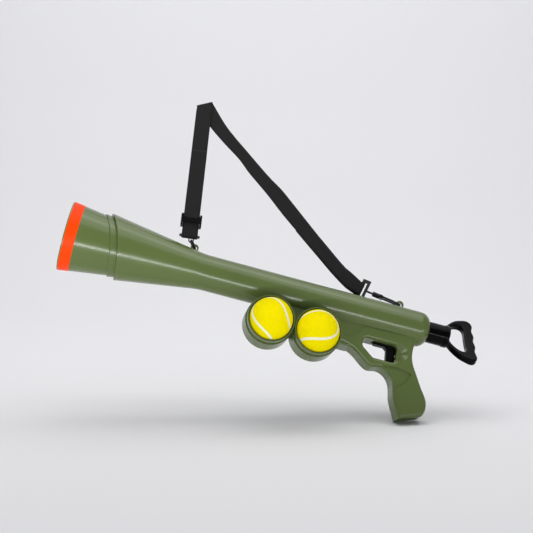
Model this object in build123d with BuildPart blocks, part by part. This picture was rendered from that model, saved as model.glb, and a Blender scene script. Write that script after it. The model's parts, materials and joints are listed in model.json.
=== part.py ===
from build123d import *
import math
import os

os.makedirs("parts", exist_ok=True)

# A hand-held ball launcher for dogs: a spring plunger in a bell-mouthed barrel.
# X runs back from the muzzle rim along the bore, Z is up and the ball cups face -Y.
# Every size is in millimetres.

# Clearances
fit_clearance = 0.15        # pieces that seat in each other
running_clearance = 0.08    # shafts, pins and bushes that turn or slide
pilot_clearance = 0.05
seat_gap = 0.3

# Barrel
rim_radius = 52.5
front_taper = 0.14          # radius lost per mm from the rim back to the beads
flare_start = 61.0
flare_front_radius = 50.2
flare_taper = 0.154         # radius lost per mm along the flare
barrel_radius = 27.3
barrel_wall = 2.6
blend_radius = 120.0        # where the flare runs out into the barrel
receiver_end = 572.0
receiver_round = 17.0

# Muzzle
rim_length = 1.8
rim_round = 0.8
band_length = 16.2
band_depth = 1.5
band_proud = 0.2
muzzle_wall = 2.8
muzzle_tube_end = 104.0
flange_x = 96.0
flange_length = 3.0
flange_height = 2.0
bead_x = 58.0               # first bead, where its chord crosses the bore axis
bead_pitch = 11.2
bead_rake = 16.0            # degrees that the beads lean, top forward
bead_bow = 7.0              # how far the sides of a bead are swept back
bead_reach = 60.0
bead_round = 1.2
collar_height = 1.8

# Web, guard and grip
web_half = 16.0
web_front = 306.0
web_rear = 548.0
web_bottom = -60.0
web_corner = 12.0
web_edge_round = 2.0
grip_half = 17.5
grip_edge_round = 5.5
guard_front = 429.0
guard_round = 5.0
guard_corner = 7.0          # of the finger hole
skin = 3.0                  # wall of the web
grip_skin = 4.0             # wall of the guard and grip

# Cups and balls
ball_radius = 32.7
ball_wall = 4.5
ball_clearance = 0.8
cup_wall = 3.4
cup_band = 13.0             # depth of the slimmer band round a cup's mouth
cup_band_step = 1.5
cup_floor = 3.0
cup_pitch = 71.6
front_cup_x = 322.2
cup_z = -63.0
cup_lip = 6.0               # how far a cup's rim stands past the middle of its ball
cup_screw_spread = 13.0
cup_screw_rise = 19.0

# Plunger
rod_radius = 16.5
rod_wall = 4.5
rod_end = 598.0
plunger_travel = 115.0
head_face = 215.5           # front of the piston disc at rest
head_length = 12.0
head_clearance = 0.35
nose_radius = 18.5
nose_length = 21.0
pad_length = 5.0
spigot_length = 24.0
stop_ring_length = 5.7
stop_shoulder = 3.0
washer_thickness = 1.6
seat_plate_x = 478.0
seat_plate_thickness = 5.0
rib_thickness = 3.0
spring_wire = 2.8
spring_radius = 20.2
spring_turns = 20
bush_x = 549.0
bush_length = 16.0
bush_radius = 20.8
cross_pin_radius = 2.0
cross_pin_inset = 0.3

# Trigger and sear
trigger_x = 497.0
trigger_z = -34.0
trigger_half = 5.0
trigger_pull = 10.0
sear_x = 520.0
sear_z = -25.0
sear_half = 3.0
sear_ratio = 2.1
pin_radius = 1.5
pin_reach = 11.0            # how far a pivot pin runs either side of the middle
pivot_boss_radius = 4.0
dish_depth = 6.5
scoop_tip = (554, -80)
scoop_depth = 2.0
bevel_depth = 7.5
dish_slope = 8.0            # how much smaller the floor of the scoop is
trigger_spring_z = -52.0
sear_spring_x = 507.0
bay_clearance = 0.5
turn_gap = 0.47             # least gap between the close end turns of a spring
latch_x = 507.0             # middle of the sear's nose
groove_width = 6.4
groove_depth = 2.2
small_wire = 0.8
small_spring_radius = 2.2
small_spring_turns = 6
trigger_bar_z = -43.5
arm_z = -34.5               # top of the trigger's inner arm
lift_x = 538.5              # where the arm turns up under the tail of the sear
nose_top = -17.0
sear_nose_z = -29.5         # underside of the sear where its spring bears
pocket_floor = -41.0        # of the sear spring's pocket in the trigger

# Handle
handle_turn = 36.0          # how far the handle is turned about the rod in the photograph
handle_reach = 648.5
handle_half_width = 51.5
handle_thickness = 11.0
handle_round = 2.5
handle_plug = 46.0

# Screws
screw_radius = 1.4
screw_head_radius = 3.1
screw_head_height = 2.2
screw_sink = 6.0
boss_radius = 5.0
boss_gap = 1.0              # how far a boss stops short of the outer face
shell_screw_spots = ((316, -36), (358, -36), (397, -36), (446, -38), (474.5, -66),
                     (546, -80), (553, -106), (564, -130))

# Eyelets, hooks and strap
front_eyelet_x = 191.0
rear_eyelet_x = 521.3
eyelet_radius = 4.0
eyelet_outer = 6.2
eyelet_half = 2.2
eyelet_rise = 3.8           # eyelet centre above the barrel
eyelet_foot = 6.0
hook_wire = 1.6
webbing_width = 25.0
webbing_thickness = 1.6
slider_travel = 80.0
bar_radius = 2.2
bar_length = 31.0
rear_bar_length = 34.6
web_gap = 0.3               # webbing to the bar it wraps
leg_lean = 7.1              # degrees that the front leg of the strap leans forward
leg_foot = (179.0, 50.5)    # middle of the bar the front leg hangs from
leg_fold = (223.3, 234.7)   # length of the leg's two edges up to the fold
tail_length = 147.0
layer_gap = 0.1
notch_side = 3.2
notch_width = 11.4          # opening in the webbing round the front eye
notch_height = 4.8
ring_radius = 4.6
ring_straight = 5.9
front_eye_reach = 13.7      # front eyelet to the eye of its swivel loop
hook_radius = 5.5
hook_start = -0.5
hook_straight = 24.0
hook_tilt = 10.0            # degrees that the snap hook is rolled, near side low
gate_start = 9.5
rear_lean = 2.77            # degrees that the rear leg swings to the far side
strap_run = ((161.7, 285.2), (195.3, 249.8), (238.9, 216.5), (277.9, 188.0), (302.5, 174.3),
             (320.9, 154.9), (379.5, 110.9), (418.3, 78.2), (440.4, 72.0), (453.5, 64.0),
             (461.8, 58.6), (456.3, 35.4), (445.0, 37.0), (435.6, 41.0), (412.2, 59.4), (385.6, 79.6), (355.6, 100.0), (315.3, 130.0),
             (282.4, 158.1), (246.1, 183.4), (225.8, 202.3), (196.1, 222.2), (166.8, 244.2),
             (139.7, 271.2))
rear_plane_start = (150.0, 0.9)
rear_bar_x = 459.0          # middle of the bar the rear leg hangs from
rear_bar_z = 47.0
rear_loop_depth = 9.0
swivel_pin = 1.6
swivel_pin_length = 17.0
swivel_head = 2.6
socket_outer = 4.0
socket_length = 12.0
knuckle_half = 3.2
gate_root = 2.6
gate_pin_radius = 0.6
slider_v = 25.0             # middle of the slide buckle, up the leg


# Sizes that follow from these
barrel_bore = barrel_radius - barrel_wall
cup_bore = ball_radius + ball_clearance
cup_outer = cup_bore + cup_wall
ball_y = -web_half - cup_floor - seat_gap - ball_radius
cup_front = ball_y - cup_lip
cup_xs = (front_cup_x, front_cup_x + cup_pitch)
flare_end = flare_start + (flare_front_radius - barrel_radius) / flare_taper
band_end = rim_length + band_length
head_radius = barrel_bore - head_clearance
head_rear = head_face + head_length
rod_bore = rod_radius - rod_wall
rod_hole = rod_radius + running_clearance
stop_front = head_face - seat_gap - stop_ring_length
washer_x = head_rear + seat_gap
spring_front = washer_x + washer_thickness + seat_gap
spring_rear = seat_plate_x - seat_gap


def front_radius(x):
    return rim_radius - front_taper * x


def flare_radius(x):
    return flare_front_radius - flare_taper * (x - flare_start)


def profile(*points):
    # A closed outline in the XZ plane, given as (x, z) pairs.
    with BuildSketch(Plane.XZ) as outline:
        with BuildLine():
            Polyline(*points, close=True)
        make_face()
    return outline.sketch


def ring(x0, x1, outer, inner):
    # The half section of a plain ring round the bore axis.
    return profile((x0, inner), (x1, inner), (x1, outer), (x0, outer))


def behind_bead(x):
    # Everything behind one raked, bowed bead, seen from the side.
    lean = bead_reach * math.tan(math.radians(bead_rake))
    rear = receiver_end + bead_pitch
    with BuildSketch(Plane.XZ) as region:
        with BuildLine():
            ThreePointArc((x - lean, bead_reach), (x + bead_bow, 0), (x + lean, -bead_reach))
            Polyline((x + lean, -bead_reach), (rear, -bead_reach),
                     (rear, bead_reach), (x - lean, bead_reach))
        make_face()
    return region.sketch


def finish(part, name):
    part.label = name
    export_step(part, f"parts/{name}.step")


# ---------------------------------------------------------------- muzzle
with BuildPart() as muzzle_tube:
    revolve(profile(
        (rim_length, front_radius(rim_length) - band_depth),
        (band_end, front_radius(band_end) - band_depth),
        (band_end, front_radius(band_end)),
        (flange_x, front_radius(flange_x)),
        (flange_x, front_radius(flange_x) + flange_height),
        (flange_x + flange_length, front_radius(flange_x) + flange_height),
        (flange_x + flange_length, front_radius(flange_x + flange_length)),
        (muzzle_tube_end, front_radius(muzzle_tube_end)),
        (muzzle_tube_end, front_radius(muzzle_tube_end) - muzzle_wall),
        (rim_length, front_radius(rim_length) - muzzle_wall),
    ), axis=Axis.X)
finish(muzzle_tube.part, "muzzle_tube")

with BuildPart() as muzzle_band:
    revolve(profile(
        (rim_length, front_radius(rim_length) - band_depth),
        (band_end, front_radius(band_end) - band_depth),
        (band_end, front_radius(band_end) + band_proud),
        (rim_length, front_radius(rim_length) + band_proud),
    ), axis=Axis.X)
finish(muzzle_band.part, "muzzle_band")

with BuildPart() as muzzle_rim:
    revolve(ring(0, rim_length, rim_radius, front_radius(0) - muzzle_wall), axis=Axis.X)
    fillet(muzzle_rim.edges().group_by(Axis.X)[0], rim_round)
finish(muzzle_rim.part, "muzzle_rim")


# ---------------------------------------------------------------- body, outer form
with BuildPart() as collar:
    # The first bead: the shells' thin front lip round the muzzle tube.
    lip_x = bead_x - bead_reach / 2
    revolve(profile((lip_x, 0), (muzzle_tube_end, 0),
                    (muzzle_tube_end, front_radius(muzzle_tube_end) + collar_height),
                    (lip_x, front_radius(lip_x) + collar_height)), axis=Axis.X)
    extrude(behind_bead(bead_x), amount=bead_reach, both=True, mode=Mode.INTERSECT)
    fillet(collar.faces().sort_by(Axis.X)[0].edges(), bead_round)

with BuildPart() as barrel:
    # The second bead, the flare, the barrel and the rounded rear of the receiver.
    with BuildSketch(Plane.XZ) as half_section:
        with BuildLine():
            Polyline((lip_x, flare_radius(lip_x)), (flare_end, barrel_radius),
                     (receiver_end, barrel_radius), (receiver_end, 0), (lip_x, 0), close=True)
        make_face()
        corners = half_section.vertices()
        fillet(corners.filter_by(lambda v: abs(v.X - flare_end) < 1), blend_radius)
        corners = half_section.vertices()
        fillet(corners.group_by(Axis.X)[-1].sort_by(Axis.Y)[-1], receiver_round)
    revolve(axis=Axis.X)
    extrude(behind_bead(bead_x + bead_pitch), amount=bead_reach, both=True, mode=Mode.INTERSECT)
    fillet(barrel.faces().sort_by(Axis.X)[0].edges(), bead_round)

with BuildSketch(Plane.XZ) as web_side:
    with BuildLine():
        Polyline((web_front, -barrel_radius / 3), (web_rear, -barrel_radius / 3),
                 (web_rear, -30), (468, -30), (453, web_bottom), (web_front, web_bottom),
                 close=True)
    make_face()
    fillet(web_side.vertices().group_by(Axis.Y)[0].sort_by(Axis.X)[0], web_corner)

with BuildPart() as web:
    extrude(web_side.sketch, amount=web_half, both=True)
    front_edges = web.edges().filter_by(lambda e: e.center().X < web_front + web_corner)
    fillet(front_edges.filter_by(lambda e: abs(abs(e.center().Y) - web_half) < 0.01), web_edge_round)

with BuildSketch(Plane.XZ) as grip_side:
    # The raised trigger panel, the pistol grip and the guard, seen from the cups' side.
    with BuildLine():
        Polyline((guard_front, -58), (guard_front, -45), (450, -44.5), (458, -40),
                 (467, -27), (473, -24), (536, -22), (540, -18.5), (556, -17.5))
        Spline((556, -17.5), (551, -42), (553, -58), (562, -76), (575, -99),
               (583, -113), (584.5, -126), (580, -137.5))
        Line((580, -137.5), (545.5, -150))
        Spline((545.5, -150), (540, -138), (531, -116), (528.5, -102), (522, -88.5),
               (513, -81.8), (502, -80), (491, -81.8), (480, -77), (466, -66),
               (452, -59), (guard_front, -58))
    make_face()
    with BuildLine():
        Polyline((472, -39.5), (527, -39.5), (527, -67.5), (491, -67.5), (472, -53), close=True)
    make_face(mode=Mode.SUBTRACT)
    fillet(grip_side.vertices().filter_by(lambda v: 471 < v.X < 528 and -68 < v.Y < -39),
           guard_corner)

with BuildPart() as grip:
    extrude(grip_side.sketch, amount=grip_half, both=True)
    for side in grip.faces().filter_by(Axis.Y):
        fillet(side.inner_wires().edges(), guard_round)
    for side in grip.faces().filter_by(Axis.Y):
        rim = side.outer_wire().edges()
        low = rim.filter_by(lambda e: e.center().Z < -46 or e.center().X > 549)
        fillet(low, grip_edge_round)

with BuildPart() as eyelets:
    for x, surface in ((front_eyelet_x, flare_radius(front_eyelet_x)),
                       (rear_eyelet_x, barrel_radius)):
        with BuildSketch(Plane.XZ):
            with Locations((x, surface + eyelet_rise)):
                Circle(eyelet_outer)
            with Locations((x, surface - eyelet_foot / 3)):
                Rectangle(2 * eyelet_outer, eyelet_foot)
            with Locations((x, surface + eyelet_rise)):
                Circle(eyelet_radius, mode=Mode.SUBTRACT)
        extrude(amount=eyelet_half, both=True)


# ---------------------------------------------------------------- body, inner form
stop_rear = stop_front - stop_shoulder
bay_half = trigger_half + bay_clearance
bay_front = trigger_x - 9.0
bay_rear = web_rear - skin
bay_floor = -39.5
rib_bore = rod_radius + 1.0

with BuildPart() as hollow:
    # The muzzle socket, the flare, the bore, the spring seat and the bush pocket.
    socket = fit_clearance
    revolve(profile(
        (lip_x, 0),
        (lip_x, front_radius(lip_x) + socket),
        (flange_x - socket, front_radius(flange_x) + socket),
        (flange_x - socket, front_radius(flange_x) + flange_height + socket),
        (flange_x + flange_length + socket, front_radius(flange_x) + flange_height + socket),
        (flange_x + flange_length + socket, front_radius(flange_x) + socket),
        (muzzle_tube_end + socket, front_radius(muzzle_tube_end) + socket),
        (muzzle_tube_end + socket, flare_radius(muzzle_tube_end) - barrel_wall),
        (stop_rear, flare_radius(stop_rear) - barrel_wall),
        (stop_rear, nose_radius + fit_clearance + 1),
        (stop_front, nose_radius + fit_clearance + 1),
        (stop_front, barrel_bore),
        (seat_plate_x + seat_plate_thickness, barrel_bore),
        (seat_plate_x + seat_plate_thickness, rib_bore),
        (seat_plate_x + seat_plate_thickness + rib_thickness, rib_bore),
        (seat_plate_x + seat_plate_thickness + rib_thickness, barrel_bore),
        (bush_x - rib_thickness, barrel_bore),
        (bush_x - rib_thickness, rib_bore),
        (bush_x, rib_bore),
        (bush_x, bush_radius + fit_clearance),
        (bush_x + bush_length + fit_clearance, bush_radius + fit_clearance),
        (bush_x + bush_length + fit_clearance, rib_bore),
        (receiver_end + 1, rib_bore),
        (receiver_end + 1, 0),
    ), axis=Axis.X)
    # The room inside the web, below the barrel.
    with BuildSketch(Plane.XZ):
        add(web_side.sketch)
        offset(amount=-skin, kind=Kind.INTERSECTION)
        with Locations((web_front, -barrel_radius), ):
            Rectangle(2 * receiver_end, barrel_radius, align=(Align.CENTER, Align.MIN),
                      mode=Mode.SUBTRACT)
    extrude(amount=web_half - skin, both=True)

with BuildPart() as grip_hollow:
    with BuildSketch(Plane.XZ):
        with BuildLine():
            Polyline((531, -27.5), (544, -27.5), (546.5, -42), (548.5, -58), (557, -78),
                     (570, -101), (578, -115), (580, -126), (577, -133.5), (548.5, -143.8),
                     (544.5, -136), (535.5, -115), (533, -101), (526.5, -86), (531, -74),
                     close=True)
        make_face()
    extrude(amount=grip_half - grip_skin, both=True)

# ---------------------------------------------------------------- body shells
head_seat = web_half - screw_sink
screw_tip = -10.5
blade_slot_rear = 535.0
spring_pocket = small_spring_radius + small_wire

with BuildPart() as dishes:
    # The scooped sides of the guard behind the trigger.
    for side in (-1, 1):
        with BuildSketch(Plane.XZ.offset(side * grip_half)) as mouth:
            with Locations((524, -51)):
                Ellipse(20, 14.5)
        with BuildSketch(Plane.XZ.offset(side * (grip_half - dish_depth))) as floor:
            with Locations((524, -51)):
                Ellipse(20 - dish_slope, 14.5 - dish_slope)
        loft(sections=[mouth.sketch, floor.sketch])

with BuildPart() as grip_relief:
    # The finger scoops in the sides of the grip, and the bevels down its front.
    with BuildSketch(Plane.XZ, mode=Mode.PRIVATE) as scoop:
        with BuildLine():
            Spline((500, -80), (511, -76.5), (524, -74.6), (541, -75.5), scoop_tip)
            Spline(scoop_tip, (550, -88), (543, -98), (533, -105.5), (521, -112))
            Polyline((521, -112), (500, -120), (500, -80))
        make_face()
    for side in (-1, 1):
        extrude(scoop.sketch.moved(Location((0, side * grip_half, 0))), amount=scoop_depth, both=True)
    bevel_line = Vector(548, 0, -144.5) - Vector(533.5, 0, -106.5)
    for side in (-1, 1):
        corner = Plane(origin=(533.5, side * (grip_half + 0.01), -106.5), z_dir=bevel_line,
                       x_dir=(0, -side, 0))
        with BuildSketch(corner):
            with BuildLine():
                Polyline((0, 0), (0, side * 20), (bevel_depth * 2.2, side * 20), close=True)
            make_face()
        extrude(amount=bevel_line.length + 15)

cup_screw_spots = [(x + side, cup_z + cup_screw_rise)
                   for x in cup_xs for side in (-cup_screw_spread, cup_screw_spread)]
pivot_spots = [(trigger_x, trigger_z), (sear_x, sear_z)]
boss_length = web_half - boss_gap
cup_boss_y = 4.0


def columns(spots, radius, y0, y1):
    # Round columns along Y, from y0 to y1, one at each (x, z) spot.
    with BuildSketch(Plane.XZ.offset(-y1)) as circles:
        with Locations(*spots):
            Circle(radius)
    return extrude(circles.sketch, amount=y1 - y0, mode=Mode.PRIVATE)


with BuildPart() as posts:
    # What stands inside the shells: the block round the trigger slot, screw and pivot bosses.
    with BuildSketch(Plane.XZ):
        with Locations((533, -54)):
            RectangleRounded(30, 38, 6)
    extrude(amount=grip_half - grip_skin / 2, both=True)
    add(columns(shell_screw_spots, boss_radius, -boss_length, boss_length))
    add(columns(pivot_spots, pivot_boss_radius, -boss_length, boss_length))
    add(columns(cup_screw_spots, boss_radius, -boss_length, -cup_boss_y))

with BuildPart() as room:
    # All the space inside the shells, and their screw and pin holes.
    add(hollow.part)
    add(grip_hollow.part)
    add(posts.part, mode=Mode.SUBTRACT)
    # The bay for the trigger and sear, and the slot behind the trigger's blade.
    with BuildSketch(Plane.XZ):
        with BuildLine():
            Polyline((bay_front, bay_floor - 1), (bay_rear, bay_floor), (bay_rear, -rib_bore),
                     (bay_front, -rib_bore), close=True)
        make_face()
        with Locations((blade_slot_rear, -70)):
            Rectangle(15, 34, align=(Align.MAX, Align.MIN))
    extrude(amount=bay_half, both=True)
    with BuildSketch(Plane.YZ.offset(blade_slot_rear - 1)):
        with Locations((0, trigger_spring_z)):
            Circle(spring_pocket)
    extrude(amount=5)
    head_hole = screw_head_radius + fit_clearance
    add(columns(shell_screw_spots, head_hole, head_seat, grip_half + 1))
    add(columns(shell_screw_spots, screw_radius + fit_clearance, 0, head_seat))
    add(columns(shell_screw_spots, screw_radius + pilot_clearance, screw_tip - 1, 0))
    add(columns(cup_screw_spots, screw_radius + pilot_clearance, -web_half - 1, -cup_boss_y - 1))
    add(columns(pivot_spots, pin_radius + running_clearance, -pin_reach, pin_reach))

with BuildPart() as body:
    add(barrel.part)
    add(collar.part)
    add(web.part)
    add(grip.part)
    add(eyelets.part)
    add(room.part, mode=Mode.SUBTRACT)
    add(dishes.part, mode=Mode.SUBTRACT)
    add(grip_relief.part, mode=Mode.SUBTRACT)

# The shells part on the plane of the bore axis.
finish(split(body.part, bisect_by=Plane.XZ, keep=Keep.TOP), "body_left_shell")
finish(split(body.part, bisect_by=Plane.XZ, keep=Keep.BOTTOM), "body_right_shell")

# ---------------------------------------------------------------- screws and pins
with BuildPart() as shell_screws:
    add(columns(shell_screw_spots, screw_radius, screw_tip, head_seat))
    add(columns(shell_screw_spots, screw_head_radius, head_seat, head_seat + screw_head_height))
finish(shell_screws.part, "shell_screws")

cup_floor_y = -web_half - cup_floor
with BuildPart() as cup_screws:
    add(columns(cup_screw_spots, screw_radius, cup_floor_y, -cup_boss_y - 2))
    add(columns(cup_screw_spots, screw_head_radius, cup_floor_y - screw_head_height, cup_floor_y))
finish(cup_screws.part, "cup_screws")

for name, spot in (("trigger_pin", pivot_spots[0]), ("sear_pin", pivot_spots[1])):
    finish(columns([spot], pin_radius, -pin_reach + seat_gap, pin_reach - seat_gap), name)

# ---------------------------------------------------------------- ball holder and balls
with BuildPart() as ball_holder:
    cup_spots = [(x, cup_z) for x in cup_xs]
    with BuildSketch(Plane.XZ.offset(web_half)):
        with Locations(*cup_spots):
            Circle(cup_outer)
    extrude(amount=-cup_front - web_half - cup_band)
    fillet(ball_holder.faces().sort_by(Axis.Y)[-1].edges(), cup_floor / 2)
    with BuildSketch(Plane.XZ.offset(-cup_front - cup_band)):
        with Locations(*cup_spots):
            Circle(cup_outer - cup_band_step)
    extrude(amount=cup_band)
    with BuildSketch(Plane.XZ.offset(web_half + cup_floor)):
        with Locations(*cup_spots):
            Circle(cup_bore)
    extrude(amount=-cup_front, mode=Mode.SUBTRACT)
    add(columns(cup_screw_spots, screw_radius + fit_clearance, cup_floor_y - 1, -web_half + 1),
        mode=Mode.SUBTRACT)
finish(ball_holder.part, "ball_holder")

for name, x in (("ball_front", cup_xs[0]), ("ball_rear", cup_xs[1])):
    with BuildPart() as ball:
        with Locations((x, ball_y, cup_z)):
            Sphere(ball_radius)
            Sphere(ball_radius - ball_wall, mode=Mode.SUBTRACT)
    finish(ball.part, name)

# ---------------------------------------------------------------- plunger
with BuildPart() as stop_ring:
    revolve(ring(stop_front, stop_front + stop_ring_length, barrel_bore - fit_clearance,
                 nose_radius + fit_clearance + 1), axis=Axis.X)
finish(stop_ring.part, "stop_ring")

with BuildPart() as piston:
    # Disc, hollow nose and the spigot that plugs into the rod.
    revolve(profile(
        (head_face - nose_length, 0), (head_face - nose_length, nose_radius),
        (head_face, nose_radius), (head_face, head_radius),
        (head_rear, head_radius), (head_rear, rod_bore - fit_clearance),
        (head_rear + spigot_length, rod_bore - fit_clearance), (head_rear + spigot_length, 0),
    ), axis=Axis.X)
    fillet(piston.edges().filter_by(lambda e: abs(e.center().X - head_face) < 0.01
                                    and e.length > 6 * head_radius), 1)
    add(columns([(head_rear + spigot_length / 2, 0)], cross_pin_radius + pilot_clearance,
                -rod_radius, rod_radius), mode=Mode.SUBTRACT)
finish(piston.part, "piston")

with BuildPart() as piston_pad:
    pad_front = head_face - nose_length - pad_length
    revolve(ring(pad_front, pad_front + pad_length, nose_radius, 0), axis=Axis.X)
    fillet(piston_pad.edges().sort_by(Axis.X)[0], pad_length / 3)
finish(piston_pad.part, "piston_pad")

groove_x = latch_x - plunger_travel
handle_pin_x = rod_end - handle_plug + 8
with BuildPart() as plunger_rod:
    revolve(profile(
        (head_rear, rod_bore), (head_rear, rod_radius),
        (groove_x - groove_width / 2, rod_radius),
        (groove_x - groove_width / 2, rod_radius - groove_depth),
        (groove_x + groove_width / 2, rod_radius - groove_depth),
        (groove_x + groove_width / 2, rod_radius),
        (rod_end, rod_radius), (rod_end, rod_bore),
    ), axis=Axis.X)
    add(columns([(head_rear + spigot_length / 2, 0), (handle_pin_x, 0)],
                cross_pin_radius + pilot_clearance, -rod_radius - 1, rod_radius + 1),
        mode=Mode.SUBTRACT)
finish(plunger_rod.part, "plunger_rod")

pin_half = math.sqrt(rod_radius ** 2 - cross_pin_radius ** 2) - cross_pin_inset
for name, x in (("piston_pin", head_rear + spigot_length / 2), ("handle_pin", handle_pin_x)):
    finish(columns([(x, 0)], cross_pin_radius, -pin_half, pin_half), name)

with BuildPart() as spring_washer:
    revolve(ring(washer_x, washer_x + washer_thickness, spring_radius + spring_wire / 2 + 1,
                 rod_hole), axis=Axis.X)
finish(spring_washer.part, "spring_washer")

with BuildPart() as seat_plate:
    revolve(ring(seat_plate_x, seat_plate_x + seat_plate_thickness,
                 barrel_bore - fit_clearance, rib_bore), axis=Axis.X)
finish(seat_plate.part, "spring_seat")

with BuildPart() as rear_bush:
    revolve(ring(bush_x, bush_x + bush_length, bush_radius, rod_hole), axis=Axis.X)
finish(rear_bush.part, "rear_bush")


def coil(start, end, radius, wire, turns, plane):
    # An open coil along the plane's normal: half turns that meet square to one plane.
    pitch = (end - start - 2 * wire) / (turns - 1)
    steps = [(wire + turn_gap) / 2] * 2 + [pitch / 2] * (2 * turns - 4)
    steps = steps + [(end - start - wire - sum(steps)) / 2] * 2
    side = 1
    along = start + wire / 2
    with BuildPart() as wound:
        with BuildLine(plane) as centre_line:
            for step in steps:
                middle = math.hypot(radius, step / 2)
                ThreePointArc((side * radius, 0, along), (0, side * middle, along + step / 2),
                              (-side * radius, 0, along + step))
                along += step
                side = -side
        with BuildSketch(Plane(origin=centre_line.line @ 0, z_dir=centre_line.line % 0)):
            Circle(wire / 2)
        sweep(path=centre_line.line)
    return wound.part


main_spring = coil(spring_front, spring_rear, spring_radius, spring_wire, spring_turns,
                   Plane.YZ)
finish(main_spring, "main_spring")
print("main spring valid", main_spring.is_valid, len(main_spring.solids()))

# ---------------------------------------------------------------- trigger and sear
pivot_hole = pin_radius + running_clearance
with BuildPart() as trigger:
    with BuildSketch(Plane.XZ) as outline:
        with BuildLine():
            Polyline((491.5, trigger_bar_z), (491.5, trigger_z), (502, -34), (504, -37.3),
                     (520, -36.5), (524, arm_z), (lift_x, arm_z), (lift_x, -29), (542, -29),
                     (542, -38.5), (531, -38.5), (525.5, -44), (525.5, -66), (514, -66),
                     (512, -47), (508, trigger_bar_z), close=True)
        make_face()
        with Locations((trigger_x, trigger_z)):
            Circle(5.5)
        with Locations((trigger_x, trigger_z)):
            Circle(pivot_hole, mode=Mode.SUBTRACT)
        fillet(outline.vertices().filter_by(lambda v: v.Y < -65), 3)
    extrude(amount=trigger_half, both=True)
    fillet(trigger.edges().filter_by(lambda e: abs(abs(e.center().Y) - trigger_half) < 0.01
                                     and e.center().Z < -50), 1.5)
    # The pocket for the sear's spring.
    with BuildSketch(Plane.XY.offset(pocket_floor)):
        with Locations((sear_spring_x, 0)):
            Circle(spring_pocket)
    extrude(amount=10, mode=Mode.SUBTRACT)
finish(trigger.part, "trigger")

with BuildPart() as sear:
    with BuildSketch(Plane.XZ) as outline:
        with BuildLine():
            Polyline((504.5, -19), (507, nose_top), (509.5, nose_top), (510.5, -22.5),
                     (520, -21.5), (541, -25), (541, -28.4), (532, -27.6), (520, -28.5),
                     (504.5, sear_nose_z), close=True)
        make_face()
        with Locations((sear_x, sear_z)):
            Circle(4)
        with Locations((sear_x, sear_z)):
            Circle(pivot_hole, mode=Mode.SUBTRACT)
    extrude(amount=sear_half, both=True)
finish(sear.part, "sear")

sear_spring = coil(pocket_floor + seat_gap, sear_nose_z - seat_gap, small_spring_radius,
                   small_wire, small_spring_turns - 2, Plane.XY).moved(Location((sear_spring_x, 0, 0)))
finish(sear_spring, "sear_spring")
trigger_spring = coil(525.8, 538.7, small_spring_radius, small_wire, small_spring_turns,
                      Plane.YZ).moved(Location((0, 0, trigger_spring_z)))
finish(trigger_spring, "trigger_spring")

# ---------------------------------------------------------------- D-handle
plug_radius = rod_bore - fit_clearance
handle_plane = Plane(origin=(0, 0, 0), x_dir=(1, 0, 0),
                     z_dir=(0, -math.cos(math.radians(handle_turn)),
                            math.sin(math.radians(handle_turn))))
with BuildPart() as d_handle:
    with BuildSketch(handle_plane):
        with BuildLine():
            upper = [(rod_end + 2, 16), (606, 27.5), (613, 37), (621, 44.5), (631, 49.5),
                     (639.5, handle_half_width), (646, 48), (handle_reach, 39), (646.4, 26),
                     (handle_reach, 13), (646.4, 0)]
            Spline(*upper, *[(x, -v) for x, v in reversed(upper[:-1])])
            Line((upper[0][0], -upper[0][1]), upper[0])
        make_face()
        with BuildLine():
            upper = [(605.5, 8), (607, 17), (613, 26.5), (621.5, 32.8), (628.5, 33.2),
                     (632, 27), (632.5, 13)]
            Spline(*upper, *[(x, -v) for x, v in reversed(upper)], periodic=True)
        make_face(mode=Mode.SUBTRACT)
    extrude(amount=handle_thickness / 2, both=True)
    fillet(d_handle.edges().filter_by(lambda e: e.length > handle_reach / 12), handle_round)
    revolve(ring(rod_end + seat_gap / 3, 604.5, rod_radius + 0.8, 0), axis=Axis.X)
    revolve(ring(rod_end - handle_plug, rod_end + 1, plug_radius, 0), axis=Axis.X)
    add(columns([(handle_pin_x, 0)], cross_pin_radius + pilot_clearance, -rod_radius, rod_radius),
        mode=Mode.SUBTRACT)
finish(d_handle.part, "d_handle")

# ---------------------------------------------------------------- strap and its fittings
lean = math.radians(leg_lean)
leg_plane = Plane(origin=(leg_foot[0], 0, leg_foot[1]),
                  x_dir=(math.cos(lean), 0, math.sin(lean)), z_dir=(0, -1, 0))
half_web = webbing_width / 2
sleeve_inner = bar_radius + web_gap
sleeve_outer = sleeve_inner + webbing_thickness
bar_w = webbing_thickness + 1.5 * layer_gap    # the bar's height above the leg plane


def cross_bar(plane, w, radius, length):
    # A round bar across a strap plane, centred over its origin.
    across = plane.location * Pos(0, 0, w) * Rot(0, 90, 0)
    return across * Cylinder(radius, length, mode=Mode.PRIVATE)


def racetrack(plane, start, radius, straight):
    # A closed wire link: two half turns and two straights, run along the plane's X axis.
    near, far = start + radius, start + radius + straight
    with BuildPart() as link:
        with BuildLine(plane) as centre_line:
            ThreePointArc((near, radius), (start, 0), (near, -radius))
            Line((near, -radius), (far, -radius))
            ThreePointArc((far, -radius), (far + radius, 0), (far, radius))
            Line((far, radius), (near, radius))
        with BuildSketch(Plane(origin=centre_line.line @ 0, z_dir=centre_line.line % 0)):
            Circle(hook_wire)
        sweep(path=centre_line.line)
    return link.part


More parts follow.
